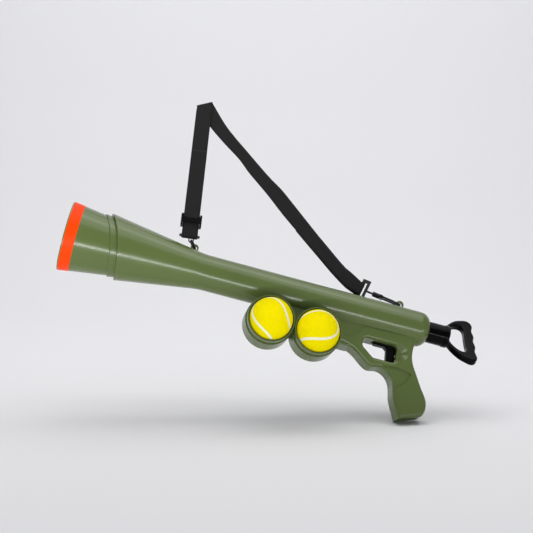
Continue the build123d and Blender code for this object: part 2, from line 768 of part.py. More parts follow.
front_eye = Vector(front_eyelet_x, 0, flare_radius(front_eyelet_x) + eyelet_rise)
rear_eye = Vector(rear_eyelet_x, 0, barrel_radius + eyelet_rise)
to_bar = (Vector(leg_foot[0], 0, leg_foot[1]) - front_eye)
front_axis = to_bar.normalized()
ring_plane = Plane(origin=front_eye, x_dir=front_axis, z_dir=front_axis.cross(Vector(0, 1, 0)))
rear_swing = math.radians(rear_lean)
rear_plane = Plane(origin=(*rear_plane_start, 0), x_dir=(math.cos(rear_swing), math.sin(rear_swing), 0),
                   z_dir=(math.sin(rear_swing), -math.cos(rear_swing), 0))
rear_bar = Vector(rear_bar_x, 0, rear_bar_z)
rear_bar.Y = rear_plane_start[1] + math.tan(rear_swing) * (rear_bar_x - rear_plane_start[0])
rear_axis = (rear_bar - rear_eye).normalized()
tilt = math.radians(hook_tilt)
hook_side = Vector(0, math.cos(tilt), math.sin(tilt))
hook_side = (hook_side - rear_axis * rear_axis.dot(hook_side)).normalized()
hook_plane = Plane(origin=rear_eye, x_dir=rear_axis, z_dir=rear_axis.cross(hook_side))
rear_across = rear_axis.cross(rear_plane.z_dir).normalized()
rear_bar_plane = Plane(origin=rear_bar, x_dir=rear_across, z_dir=rear_axis.cross(rear_across))
front_ring = racetrack(ring_plane, -2, ring_radius, ring_straight)
finish(front_ring, "front_ring")

with BuildPart() as front_swivel_loop:
    # The bar for the webbing, with the eye that the ring passes through.
    add(cross_bar(leg_plane, bar_w, bar_radius, bar_length))
    eye_at = front_eye + front_axis * front_eye_reach
    with BuildSketch(Plane.XZ):
        with Locations((eye_at.X, eye_at.Z)):
            Circle(4.4)
    extrude(amount=2.4)
    with BuildSketch(Plane.XZ):
        with Locations((eye_at.X, eye_at.Z)):
            Circle(3)
    extrude(amount=2.4, both=True, mode=Mode.SUBTRACT)
finish(front_swivel_loop.part, "front_swivel_loop")

with BuildPart() as strap:
    # Front leg, its doubled tail and the fold.
    with BuildSketch(leg_plane.offset(layer_gap)):
        with BuildLine():
            Polyline((-half_web, 0), (half_web, 0), (half_web, leg_fold[1]),
                     (-half_web, leg_fold[0]), close=True)
        make_face()
    extrude(amount=webbing_thickness)
    with BuildSketch(leg_plane.offset(2 * layer_gap + webbing_thickness)):
        Rectangle(webbing_width, tail_length, align=(Align.CENTER, Align.MIN))
    extrude(amount=webbing_thickness)
    add(cross_bar(leg_plane, bar_w, sleeve_outer, webbing_width))
    # Rear leg, on a plane that leans to the far side, and the fold.
    with BuildSketch(rear_plane):
        with BuildLine():
            Polyline(*[((x - rear_plane_start[0]) / math.cos(rear_swing), z)
                       for x, z in strap_run], close=True)
        make_face()
    extrude(amount=webbing_thickness / 2, both=True)
    fold_start = Vector(strap_run[-1][0], 0, strap_run[-1][1])
    fold_end = Vector(strap_run[0][0], 0, strap_run[0][1])
    with BuildSketch(Plane(origin=fold_start, z_dir=fold_end - fold_start)):
        Circle(webbing_thickness + layer_gap)
    extrude(amount=(fold_end - fold_start).length)
    add(cross_bar(rear_bar_plane, 0, sleeve_outer, webbing_width))
    add(cross_bar(rear_bar_plane, 0, sleeve_inner, webbing_width + 2), mode=Mode.SUBTRACT)
    add(cross_bar(leg_plane, bar_w, sleeve_inner, webbing_width + 2), mode=Mode.SUBTRACT)
    with BuildSketch(leg_plane.offset(-sleeve_outer)):
        with Locations((notch_side, 0)):
            Rectangle(notch_width, 2 * notch_height)
    extrude(amount=3 * sleeve_outer, mode=Mode.SUBTRACT)
print("strap", strap.part.is_valid, len(strap.part.solids()))
finish(strap.part, "strap")

with BuildPart() as strap_slider:
    # A slide buckle: the middle bar lies over the webbing, the end bars behind it.
    side = half_web + web_gap
    for w, v, across in ((3.9, 0, 7), (-2.4, -8.5, 3), (-2.4, 8.5, 3)):
        with BuildSketch(leg_plane.offset(w)):
            with Locations((0, slider_v + v)):
                Rectangle(2 * side + 6, across)
        extrude(amount=2)
    with BuildSketch(leg_plane.offset(-2.4)):
        with Locations((-side - 1.5, slider_v), (side + 1.5, slider_v)):
            Rectangle(3, 20)
    extrude(amount=8.3)
finish(strap_slider.part, "strap_slider")

# ---------------------------------------------------------------- rear swivel and snap hook
with BuildPart() as rear_swivel_loop:
    # A rectangular wire loop in the plane of the webbing's end, with its swivel post.
    add(cross_bar(rear_bar_plane, 0, bar_radius, rear_bar_length))
    half_bar = rear_bar_length / 2 - bar_radius
    with BuildSketch(rear_bar_plane.offset(-bar_radius)):
        with Locations((-half_bar, rear_loop_depth / 2), (half_bar, rear_loop_depth / 2)):
            Rectangle(2 * bar_radius, rear_loop_depth)
        with Locations((0, rear_loop_depth)):
            Rectangle(rear_bar_length, 2 * bar_radius)
    extrude(amount=2 * bar_radius)
    post = Plane(origin=rear_bar - rear_axis * rear_loop_depth, z_dir=-rear_axis)
    with BuildSketch(post):
        Circle(swivel_pin)
    extrude(amount=swivel_pin_length)
    with BuildSketch(post.offset(swivel_pin_length)):
        Circle(swivel_head)
    extrude(amount=2)
finish(rear_swivel_loop.part, "rear_swivel_loop")

near = hook_start + hook_radius
far = near + hook_straight
with BuildPart() as rear_hook:
    # The wire of the hook, open where the gate is, and the socket for the swivel post.
    with BuildLine(hook_plane) as centre_line:
        Line((gate_start - seat_gap, -hook_radius), (near, -hook_radius))
        ThreePointArc((near, -hook_radius), (hook_start, 0), (near, hook_radius))
        Line((near, hook_radius), (far + 1, hook_radius))
    with BuildSketch(Plane(origin=centre_line.line @ 0, z_dir=centre_line.line % 0)):
        Circle(hook_wire)
    sweep(path=centre_line.line)
    knuckle = Plane(origin=rear_eye + rear_axis * far, z_dir=rear_axis)
    with BuildSketch(Plane(origin=knuckle.origin, x_dir=hook_plane.y_dir, z_dir=rear_axis)):
        RectangleRounded(2 * (hook_radius + hook_wire), 2 * knuckle_half, 2)
    extrude(amount=4)
    with BuildSketch(knuckle.offset(4)):
        Circle(socket_outer)
    extrude(amount=socket_length)
    with BuildSketch(knuckle.offset(5)):
        Circle(swivel_head + seat_gap)
    extrude(amount=socket_length - 4, mode=Mode.SUBTRACT)
    with BuildSketch(knuckle.offset(5)):
        Circle(swivel_pin + running_clearance)
    extrude(amount=socket_length + 1, mode=Mode.SUBTRACT)
    # The slot and hole for the gate.
    with BuildSketch(hook_plane.offset(-hook_wire - fit_clearance)):
        with Locations((far, -hook_radius)):
            Rectangle(2 * gate_root + 1, 2 * hook_wire + 4)
    extrude(amount=2 * (hook_wire + fit_clearance), mode=Mode.SUBTRACT)
    with BuildSketch(hook_plane.offset(-knuckle_half)):
        with Locations((far + gate_root / 2, -hook_radius + 1)):
            Circle(gate_pin_radius + pilot_clearance)
    extrude(amount=2 * knuckle_half, mode=Mode.SUBTRACT)
print("rear hook", rear_hook.part.is_valid, len(rear_hook.part.solids()))
finish(rear_hook.part, "rear_hook")

with BuildPart() as rear_gate:
    with BuildSketch(hook_plane.offset(-hook_wire)) as blade:
        with Locations(((gate_start + far) / 2, -hook_radius)):
            Rectangle(far - gate_start, 2 * hook_wire)
        with Locations((far + gate_root / 2, -hook_radius + 1)):
            Circle(gate_root / 2 - fit_clearance + 0.5)
            Circle(gate_pin_radius + running_clearance, mode=Mode.SUBTRACT)
    extrude(amount=2 * hook_wire)
finish(rear_gate.part, "rear_gate")

with BuildPart() as gate_pin:
    with BuildSketch(hook_plane.offset(-knuckle_half + fit_clearance)):
        with Locations((far + gate_root / 2, -hook_radius + 1)):
            Circle(gate_pin_radius)
    extrude(amount=2 * (knuckle_half - fit_clearance))
finish(gate_pin.part, "gate_pin")
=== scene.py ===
import bpy
import json
import math
import bmesh
from mathutils import Matrix, Vector, Quaternion, noise


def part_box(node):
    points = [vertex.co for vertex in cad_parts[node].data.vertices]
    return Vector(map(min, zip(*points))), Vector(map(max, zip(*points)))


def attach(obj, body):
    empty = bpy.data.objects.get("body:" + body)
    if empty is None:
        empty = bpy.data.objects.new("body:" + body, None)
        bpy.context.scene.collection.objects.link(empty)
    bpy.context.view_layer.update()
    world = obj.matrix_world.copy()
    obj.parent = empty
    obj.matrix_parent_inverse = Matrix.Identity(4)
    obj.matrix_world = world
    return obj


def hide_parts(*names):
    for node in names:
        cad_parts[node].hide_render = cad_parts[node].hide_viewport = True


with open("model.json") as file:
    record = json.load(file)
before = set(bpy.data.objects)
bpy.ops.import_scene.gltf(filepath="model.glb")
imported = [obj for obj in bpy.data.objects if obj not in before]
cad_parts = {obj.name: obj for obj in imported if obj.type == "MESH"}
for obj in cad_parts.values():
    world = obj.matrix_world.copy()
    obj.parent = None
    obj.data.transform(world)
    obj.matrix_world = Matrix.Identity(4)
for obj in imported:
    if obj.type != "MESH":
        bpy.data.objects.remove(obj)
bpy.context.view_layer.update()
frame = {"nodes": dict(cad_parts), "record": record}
nodes = frame["nodes"]
mm = 0.001

# ---- camera, from the view fitted to the photograph
view = {"focal": 1100.0, "pan": 6.3, "roll": 14.95, "tilt": 20.0,
        "depth": 1.645, "muzzlePixel": (65.75, 235.6), "pixels": 533}


def viewRotation():
    # rows are the camera's right, forward and up, in the row frame
    pan, roll, tilt = (math.radians(view[k]) for k in ("pan", "roll", "tilt"))
    turnX = Matrix(((1, 0, 0), (0, math.cos(tilt), math.sin(tilt)), (0, -math.sin(tilt), math.cos(tilt))))
    turnY = Matrix(((math.cos(roll), 0, math.sin(roll)), (0, 1, 0), (-math.sin(roll), 0, math.cos(roll))))
    turnZ = Matrix(((math.cos(pan), -math.sin(pan), 0), (math.sin(pan), math.cos(pan), 0), (0, 0, 1)))
    return turnZ @ turnY @ turnX


toView = viewRotation()
fromViewTurn = toView.transposed()
half = view["pixels"] / 2
muzzleInView = Vector(((view["muzzlePixel"][0] - half) / view["focal"], 1,
                       -(view["muzzlePixel"][1] - half) / view["focal"])) * view["depth"]


def rowPoint(right, depth, up):
    # a point given from the camera, in metres, as a point in the row frame
    return fromViewTurn @ (Vector((right, depth, up)) - muzzleInView)


def rowTurn(direction):
    return fromViewTurn @ Vector(direction)


def axesMatrix(x, y, z, at):
    turn = Matrix((x, y, z)).transposed().to_4x4()
    turn.translation = at
    return turn


camera = bpy.data.cameras.new("camera")
camera.sensor_width = 36
camera.lens = view["focal"] * 36 / view["pixels"]
camera.clip_start = 0.05
camera.clip_end = 30
cameraObject = bpy.data.objects.new("camera", camera)
bpy.context.scene.collection.objects.link(cameraObject)
cameraObject.matrix_world = axesMatrix(rowTurn((1, 0, 0)), rowTurn((0, 0, 1)), rowTurn((0, -1, 0)),
                                       rowPoint(0, 0, 0))
bpy.context.scene.camera = cameraObject
print("camera ready")


# ---- shader helpers
def newMaterial(name):
    material = bpy.data.materials.new(name)
    material.use_nodes = True
    tree = material.node_tree
    shader = tree.nodes["Principled BSDF"]
    return material, tree, shader


def fillInputs(tree, node, inputs):
    # a socket is linked, a plain value is set
    for key, value in (inputs or {}).items():
        if isinstance(value, bpy.types.NodeSocket):
            tree.links.new(value, node.inputs[key])
        else:
            node.inputs[key].default_value = value
    return node


def addNode(tree, kind, inputs=None, **settings):
    node = tree.nodes.new(kind)
    for key, value in settings.items():
        setattr(node, key, value)
    return fillInputs(tree, node, inputs)


def newGroup(name, inputs, outputs):
    group = bpy.data.node_groups.new(name, "ShaderNodeTree")
    for label, kind, value in inputs:
        socket = group.interface.new_socket(label, in_out="INPUT", socket_type=kind)
        if value is not None:
            socket.default_value = value
    for label, kind in outputs:
        group.interface.new_socket(label, in_out="OUTPUT", socket_type=kind)
    return group, group.nodes.new("NodeGroupInput"), group.nodes.new("NodeGroupOutput")


def useGroup(tree, group, inputs=None):
    node = tree.nodes.new("ShaderNodeGroup")
    node.node_tree = group
    return fillInputs(tree, node, inputs)


def meshObject(name, shape):
    mesh = bpy.data.meshes.new(name)
    shape.to_mesh(mesh)
    shape.free()
    for face in mesh.polygons:
        face.use_smooth = True
    piece = bpy.data.objects.new(name, mesh)
    bpy.context.scene.collection.objects.link(piece)
    return piece


# ---- plastics and metals
plasticLook = {"broadScale": 9.0, "grainScale": 1500.0, "smudgeScale": 34.0, "smudgeRoughness": 0.03,
               "grainDepth": 0.2 * mm}
metalLook = {"drawnScale": 420.0, "patchScale": 60.0, "patchShade": 0.7, "roughnessSpread": 0.15,
             "bump": 0.15, "bumpDepth": 0.2 * mm}


def mouldedGroup():
    # moulded plastic: soft tone drift, fine grain, hairline handling marks
    group, inside, outside = newGroup("mouldedPlastic", (
        ("Colour", "NodeSocketColor", (0.1, 0.1, 0.1, 1)), ("Roughness", "NodeSocketFloat", 0.3),
        ("Grain", "NodeSocketFloat", 0.1), ("Drift", "NodeSocketFloat", 0.06)),
        (("Colour", "NodeSocketColor"), ("Roughness", "NodeSocketFloat"), ("Normal", "NodeSocketVector")))
    place = addNode(group, "ShaderNodeTexCoord").outputs["Object"]
    broad = addNode(group, "ShaderNodeTexNoise", {"Vector": place, "Scale": plasticLook["broadScale"],
                                                  "Detail": 3.0})
    fine = addNode(group, "ShaderNodeTexNoise", {"Vector": place, "Scale": plasticLook["grainScale"],
                                                 "Detail": 2.0})
    smudge = addNode(group, "ShaderNodeTexNoise", {"Vector": place, "Scale": plasticLook["smudgeScale"],
                                                   "Detail": 5.0, "Roughness": 0.65})
    tone = addNode(group, "ShaderNodeMapRange", {"Value": broad.outputs["Fac"], "From Min": 0.35,
                                                 "From Max": 0.65, "To Min": -1.0, "To Max": 1.0})
    amount = addNode(group, "ShaderNodeMath", {0: tone.outputs["Result"], 1: inside.outputs["Drift"]},
                     operation="MULTIPLY")
    gain = addNode(group, "ShaderNodeMath", {0: amount.outputs[0], 1: 1.0}, operation="ADD")
    tint = addNode(group, "ShaderNodeVectorMath", {0: inside.outputs["Colour"]}, operation="SCALE")
    group.links.new(gain.outputs[0], tint.inputs["Scale"])
    group.links.new(tint.outputs[0], outside.inputs["Colour"])
    worn = addNode(group, "ShaderNodeMapRange", {"Value": smudge.outputs["Fac"], "From Min": 0.4,
                                                 "From Max": 0.75, "To Min": 0.0,
                                                 "To Max": plasticLook["smudgeRoughness"]})
    rough = addNode(group, "ShaderNodeMath", {0: inside.outputs["Roughness"], 1: worn.outputs["Result"]},
                    operation="ADD")
    group.links.new(rough.outputs[0], outside.inputs["Roughness"])
    bump = addNode(group, "ShaderNodeBump", {"Strength": inside.outputs["Grain"],
                                             "Distance": plasticLook["grainDepth"],
                                             "Height": fine.outputs["Fac"]})
    group.links.new(bump.outputs["Normal"], outside.inputs["Normal"])
    return group


moulded = mouldedGroup()


def mouldedMaterial(name, colour, roughness, grain=0.1, drift=0.05, specular=0.5):
    material, tree, shader = newMaterial(name)
    surface = useGroup(tree, moulded, {"Colour": (*colour, 1), "Roughness": roughness, "Grain": grain,
                                       "Drift": drift})
    tree.links.new(surface.outputs["Colour"], shader.inputs["Base Color"])
    tree.links.new(surface.outputs["Roughness"], shader.inputs["Roughness"])
    tree.links.new(surface.outputs["Normal"], shader.inputs["Normal"])
    shader.inputs["Specular IOR Level"].default_value = specular
    return material


def metalMaterial(name, colour, roughness, metallic=1.0):
    material, tree, shader = newMaterial(name)
    place = addNode(tree, "ShaderNodeTexCoord").outputs["Object"]
    drawn = addNode(tree, "ShaderNodeTexNoise", {"Vector": place, "Scale": metalLook["drawnScale"],
                                                  "Detail": 4.0})
    patch = addNode(tree, "ShaderNodeTexNoise", {"Vector": place, "Scale": metalLook["patchScale"],
                                                  "Detail": 3.0})
    worn = addNode(tree, "ShaderNodeMix", {"Factor": patch.outputs["Fac"], "A": (*colour, 1),
                                           "B": (*(c * metalLook["patchShade"] for c in colour), 1)},
                   data_type="RGBA")
    tree.links.new(worn.outputs["Result"], shader.inputs["Base Color"])
    rough = addNode(tree, "ShaderNodeMapRange", {"Value": drawn.outputs["Fac"], "To Min": roughness,
                                                 "To Max": roughness + metalLook["roughnessSpread"]})
    tree.links.new(rough.outputs["Result"], shader.inputs["Roughness"])
    bump = addNode(tree, "ShaderNodeBump", {"Strength": metalLook["bump"],
                                            "Distance": metalLook["bumpDepth"],
                                            "Height": drawn.outputs["Fac"]})
    tree.links.new(bump.outputs["Normal"], shader.inputs["Normal"])
    shader.inputs["Metallic"].default_value = metallic
    return material


shellLook = {"colour": (0.092, 0.131, 0.034), "roughness": 0.21, "grain": 0.12, "drift": 0.05}
materials = {
    "shell": mouldedMaterial("olivePlastic", **shellLook),
    "cups": mouldedMaterial("oliveCup", **shellLook),
    "band": mouldedMaterial("orangePlastic", (0.95, 0.052, 0.0), 0.42, grain=0.2, drift=0.03,
                            specular=0.1),
    "black_gloss": mouldedMaterial("blackGloss", (0.0006, 0.0006, 0.0007), 0.15, grain=0.05, drift=0.1,
                                  specular=0.09),
    "black_plastic": mouldedMaterial("blackSatin", (0.001, 0.001, 0.0012), 0.34, grain=0.3, drift=0.1,
                                     specular=0.14),
    "piston": mouldedMaterial("darkNylon", (0.03, 0.03, 0.032), 0.45, grain=0.4, drift=0.1),
    "bumper": mouldedMaterial("blackRubber", (0.012, 0.012, 0.012), 0.7, grain=0.8, drift=0.15),
    "steel": metalMaterial("zincSteel", (0.55, 0.55, 0.56), 0.28),
    "black_steel": metalMaterial("blackenedSteel", (0.035, 0.035, 0.038), 0.26, metallic=0.85),
}


# ---- felt balls
feltLook = {"deep": (0.80, 0.66, 0.0, 1), "bright": (0.89, 0.77, 0.0, 1), "seam": (0.80, 0.82, 0.66, 1),
            "napScale": 700.0, "clumpScale": 150.0, "roughness": 0.9, "specular": 0.04,
            "width": 0.075, "groove": 0.5 * mm, "nap": 0.35 * mm, "fluffScale": 30, "seamSteps": 240,
            "subdivisions": 6}


def seamPoint(turn):
    # the one closed seam of a ball, on a sphere of radius 1
    wide, narrow = 0.75, 0.25
    return Vector((wide * math.cos(turn) + narrow * math.cos(3 * turn),
                   wide * math.sin(turn) - narrow * math.sin(3 * turn),
                   2 * math.sqrt(wide * narrow) * math.sin(2 * turn)))


def feltMaterial():
    material, tree, shader = newMaterial("feltYellow")
    place = addNode(tree, "ShaderNodeTexCoord").outputs["Object"]
    seam = addNode(tree, "ShaderNodeAttribute", attribute_name="seam").outputs["Fac"]
    nap = addNode(tree, "ShaderNodeTexNoise", {"Vector": place, "Scale": feltLook["napScale"],
                                               "Detail": 6.0, "Roughness": 0.7})
    clumps = addNode(tree, "ShaderNodeTexNoise", {"Vector": place, "Scale": feltLook["clumpScale"],
                                                  "Detail": 4.0})
    felt = addNode(tree, "ShaderNodeMix", {"Factor": clumps.outputs["Fac"], "A": feltLook["deep"],
                                           "B": feltLook["bright"]}, data_type="RGBA")
    frayed = addNode(tree, "ShaderNodeMath", {0: nap.outputs["Fac"], 1: 0.6}, operation="MULTIPLY")
    edge = addNode(tree, "ShaderNodeMath", {0: seam, 1: frayed.outputs[0]}, operation="ADD")
    mask = addNode(tree, "ShaderNodeMapRange", {"Value": edge.outputs[0], "From Min": 1.02,
                                                "From Max": 1.22}, interpolation_type="SMOOTHSTEP")
    mixed = addNode(tree, "ShaderNodeMix", {"Factor": mask.outputs["Result"], "A": felt.outputs["Result"],
                                            "B": feltLook["seam"]}, data_type="RGBA")
    tree.links.new(mixed.outputs["Result"], shader.inputs["Base Color"])
    shader.inputs["Roughness"].default_value = feltLook["roughness"]
    shader.inputs["Specular IOR Level"].default_value = feltLook["specular"]
    bump = addNode(tree, "ShaderNodeBump", {"Strength": 0.7, "Distance": 0.0008,
                                            "Height": nap.outputs["Fac"]})
    tree.links.new(bump.outputs["Normal"], shader.inputs["Normal"])
    return material


felt = feltMaterial()


def feltBall(name, node, body, turn):
    # turn: (axis, degrees) pairs that bring the seam to where the photograph shows it
    low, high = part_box(node)
    centre = (Vector(low) + Vector(high)) / 2
    radius = (high[2] - low[2]) / 2
    spin = Quaternion()
    for axis, degrees in turn:
        spin = Quaternion(axis, math.radians(degrees)) @ spin
    steps = feltLook["seamSteps"]
    seam = [spin @ seamPoint(2 * math.pi * i / steps) for i in range(steps)]
    shape = bmesh.new()
    bmesh.ops.create_icosphere(shape, subdivisions=feltLook["subdivisions"], radius=1)
    mask = shape.verts.layers.float.new("seam")
    for vertex in shape.verts:
        toward = vertex.co.normalized()
        near = min((toward - point).length_squared for point in seam)
        share = math.exp(-(math.sqrt(near) / feltLook["width"]) ** 2)
        vertex[mask] = share * 1.6
        fluff = noise.noise(toward * feltLook["fluffScale"]) * feltLook["nap"] * (1 - share)
        vertex.co = toward * (radius - feltLook["groove"] * share - feltLook["nap"] + fluff)
    ball = meshObject(name, shape)
    ball.location = centre
    ball.data.materials.append(felt)
    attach(ball, body)
    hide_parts(node)


feltBall("felt_ball_front", "ball_front", "ball_front",
         (((1, 0, 0), 37), ((0, 1, 0), 25.7), ((0, 0, 1), 215.6)))
feltBall("felt_ball_rear", "ball_rear", "ball_rear",
         (((1, 0, 0), 294.7), ((0, 1, 0), 308.5), ((0, 0, 1), 247.6)))
print("balls ready")


# ---- webbing strap
strapForm = {"width": 24.6 * mm, "thick": 1.5 * mm, "lanes": 8, "bevelFrom": 0.9, "bevel": 4,
             "foot": (179, 0, 50.5), "lean": 7.1, "tail": 147, "tailOut": 2.55,
             "wrap": 3.3, "wrapOut": 1.75, "wrapFlat": 0.9,
             "legFrom": 8, "legTop": 214, "legOut": 0.9,
             "foldLow": (139.6, 270.9), "foldHigh": (162.0, 284.8),
             "upperEdge": ((161.7, 285.2), (195.3, 249.8), (238.9, 216.5), (277.9, 188.0),
                           (302.5, 172.3), (322.9, 156.4), (379.5, 110.9), (418.3, 80.2),
                           (440.4, 68.0), (459.3, 56.6)),
             "lowerEdge": ((139.7, 271.2), (166.8, 244.2), (196.1, 222.2), (225.8, 202.3),
                           (246.1, 184.4), (282.4, 157.1), (315.3, 130.0), (355.6, 100.0),
                           (385.6, 79.1), (412.2, 59.4), (435.6, 43.0), (452.3, 37.2)),
             "steps": 70, "rearFrom": 150, "rearSlope": 0.0484, "rearRise": 0.05,
             "rearBar": (459, 15.86, 47), "rearAcross": (0.246, 0.012, 0.969),
             "barFrom": 58, "hemRows": 8, "hemStride": 3, "hemOut": 1.75}
webbingLook = {"dark": (0.0018, 0.0015, 0.0015, 1), "light": (0.0075, 0.0062, 0.0062, 1),
               "ribs": 620, "crossThreads": 480, "fuzzScale": 900.0, "roughness": 0.72,
               "specular": 0.25, "sheen": 0.03, "sheenRoughness": 0.4, "bump": 0.6,
               "bumpDepth": 0.3 * mm}


def webbingMaterial():
    material, tree, shader = newMaterial("blackWebbing")
    flat = addNode(tree, "ShaderNodeUVMap", uv_map="weave").outputs["UV"]
    parts = addNode(tree, "ShaderNodeSeparateXYZ", {"Vector": flat})
    ribs = addNode(tree, "ShaderNodeMath",
                   {0: parts.outputs["Y"], 1: 2 * math.pi * webbingLook["ribs"]}, operation="MULTIPLY")
    cross = addNode(tree, "ShaderNodeMath",
                    {0: parts.outputs["X"], 1: 2 * math.pi * webbingLook["crossThreads"]},
                    operation="MULTIPLY")
    ribWave = addNode(tree, "ShaderNodeMath", {0: ribs.outputs[0]}, operation="SINE")
    crossWave = addNode(tree, "ShaderNodeMath", {0: cross.outputs[0]}, operation="SINE")
    weave = addNode(tree, "ShaderNodeMath", {0: ribWave.outputs[0], 1: crossWave.outputs[0]},
                    operation="MULTIPLY")
    fuzz = addNode(tree, "ShaderNodeTexNoise", {"Scale": webbingLook["fuzzScale"], "Detail": 4.0})
    tone = addNode(tree, "ShaderNodeMapRange", {"Value": weave.outputs[0], "From Min": -1.0,
                                                "To Min": 0.3, "To Max": 1.0})
    shade = addNode(tree, "ShaderNodeMix", {"Factor": tone.outputs["Result"], "A": webbingLook["dark"],
                                            "B": webbingLook["light"]}, data_type="RGBA")
    tree.links.new(shade.outputs["Result"], shader.inputs["Base Color"])
    height = addNode(tree, "ShaderNodeMath", {0: weave.outputs[0], 1: fuzz.outputs["Fac"]},
                     operation="ADD")
    bump = addNode(tree, "ShaderNodeBump", {"Strength": webbingLook["bump"],
                                            "Distance": webbingLook["bumpDepth"],
                                            "Height": height.outputs[0]})
    tree.links.new(bump.outputs["Normal"], shader.inputs["Normal"])
    shader.inputs["Roughness"].default_value = webbingLook["roughness"]
    shader.inputs["Specular IOR Level"].default_value = webbingLook["specular"]
    shader.inputs["Sheen Weight"].default_value = webbingLook["sheen"]
    shader.inputs["Sheen Roughness"].default_value = webbingLook["sheenRoughness"]
    return material


webbing = webbingMaterial()


def smoothLine(points, count):
    # points spaced evenly along a smooth curve through the given ones
    ends = [Vector(p) for p in points]
    ends = [ends[0] * 2 - ends[1]] + ends + [ends[-1] * 2 - ends[-2]]
    fine = []
    for a, b, c, d in zip(ends, ends[1:], ends[2:], ends[3:]):
        for i in range(20):
            t = i / 20
            fine.append(((b * 2) + (c - a) * t + (a * 2 - b * 5 + c * 4 - d) * t ** 2
                         + (b * 3 - a - c * 3 + d) * t ** 3) / 2)
    fine.append(ends[-2])
    lengths = [0]
    for a, b in zip(fine, fine[1:]):
        lengths.append(lengths[-1] + (b - a).length)
    spots, k = [], 0
    for i in range(count):
        want = lengths[-1] * i / (count - 1)
        while k < len(fine) - 2 and lengths[k + 1] < want:
            k += 1
        share = (want - lengths[k]) / (lengths[k + 1] - lengths[k])
        spots.append(fine[k].lerp(fine[k + 1], min(1, max(0, share))))
    return spots


def frontLeg():
    # the tail hanging outside, round the loop's bar and up the leg to the fold
    form = strapForm
    lean = math.radians(form["lean"])
    foot = Vector(form["foot"])
    across = Vector((math.cos(lean), 0, math.sin(lean)))
    along = Vector((-math.sin(lean), 0, math.cos(lean)))
    out = Vector((0, -1, 0))
    stations = []
    for i in range(25):
        v = form["tail"] + (form["legFrom"] - form["tail"]) * i / 24
        stations.append((foot + along * v + out * form["tailOut"], across, out))
    for i in range(1, 12):
        angle = math.pi * i / 12
        reach = form["wrap"]
        spot = (foot + out * form["wrapOut"] - along * reach * math.sin(angle)
                + out * reach * math.cos(angle) * form["wrapFlat"])
        stations.append((spot, across, (out * math.cos(angle) - along * math.sin(angle)).normalized()))
    for i in range(36):
        v = form["legFrom"] + (form["legTop"] - form["legFrom"]) * i / 35
        stations.append((foot + along * v + out * form["legOut"], across, -out))
    return stations


def foldOver():
    out = Vector((0, -1, 0))
    low, high = (Vector((x, 0, z)) for x, z in (strapForm["foldLow"], strapForm["foldHigh"]))
    ridge = (high - low) / strapForm["width"] * mm
    beyond = Vector((-ridge.z, 0, ridge.x)).normalized()
    stations = []
    for i in range(7):
        angle = math.pi * i / 6
        face = -out * math.cos(angle) - beyond * math.sin(angle)
        stations.append(((low + high) / 2 - face * strapForm["legOut"], ridge, face))
    return stations


def rearY(x):
    # the rear leg leans away from the cups' side on its way back
    return strapForm["legOut"] + strapForm["rearSlope"] * (x - strapForm["rearFrom"])


def rearLeg(upper, lower):
    form = strapForm
    stations = []
    for step in range(2, form["steps"]):
        a, b = upper[step], lower[step]
        middle = (a + b) / 2
        edge = (a - b) / form["width"] * mm
        line = Vector((edge[0], 0, edge[1]))
        run = Vector((upper[step][0] - upper[step - 1][0], form["rearRise"],
                      upper[step][1] - upper[step - 1][1]))
        nearBar = max(0, (step - form["barFrom"]) / (form["steps"] - form["barFrom"]))
        face = line.cross(run).normalized()
        face = face if face.y > 0 else -face
        dip = form["wrap"] * nearBar ** 2
        stations.append((Vector((middle[0], rearY(middle[0]) - dip, middle[1])), line, face))
    return stations


def rearHem(upper, lower):
    # round the rear bar and back along the far side, where it is sewn down
    form = strapForm
    bar = Vector(form["rearBar"])
    side = Vector(form["rearAcross"])
    away = side.cross(Vector((0, 1, 0))).normalized()
    away = away if away.x > 0 else -away
    far = away.cross(side)
    far = far if far.y > 0 else -far
    stations = []
    for i in range(9):
        angle = math.pi * i / 8
        face = -(-far * math.cos(angle) + away * math.sin(angle))
        stations.append((bar - face * form["wrap"], side, face))
    for i in range(1, form["hemRows"] + 1):
        step = form["steps"] - 1 - form["hemStride"] * i
        back = upper[step] * 0.5 + lower[step] * 0.5
        lift = form["wrap"] + (form["hemOut"] - form["wrap"]) * min(1, i / 3)
        edge = upper[step] - lower[step]
        stations.append((Vector((back[0], rearY(back[0]) + lift, back[1])),
                         Vector((edge[0], 0, edge[1])).normalized(), Vector((0, -1, 0))))
    return stations


def strapFrames():
    # stations along the webbing: centre, direction across and outward face, in millimetres
    upper = smoothLine(strapForm["upperEdge"], strapForm["steps"])
    lower = smoothLine(strapForm["lowerEdge"], strapForm["steps"])
    return frontLeg() + foldOver() + rearLeg(upper, lower) + rearHem(upper, lower)


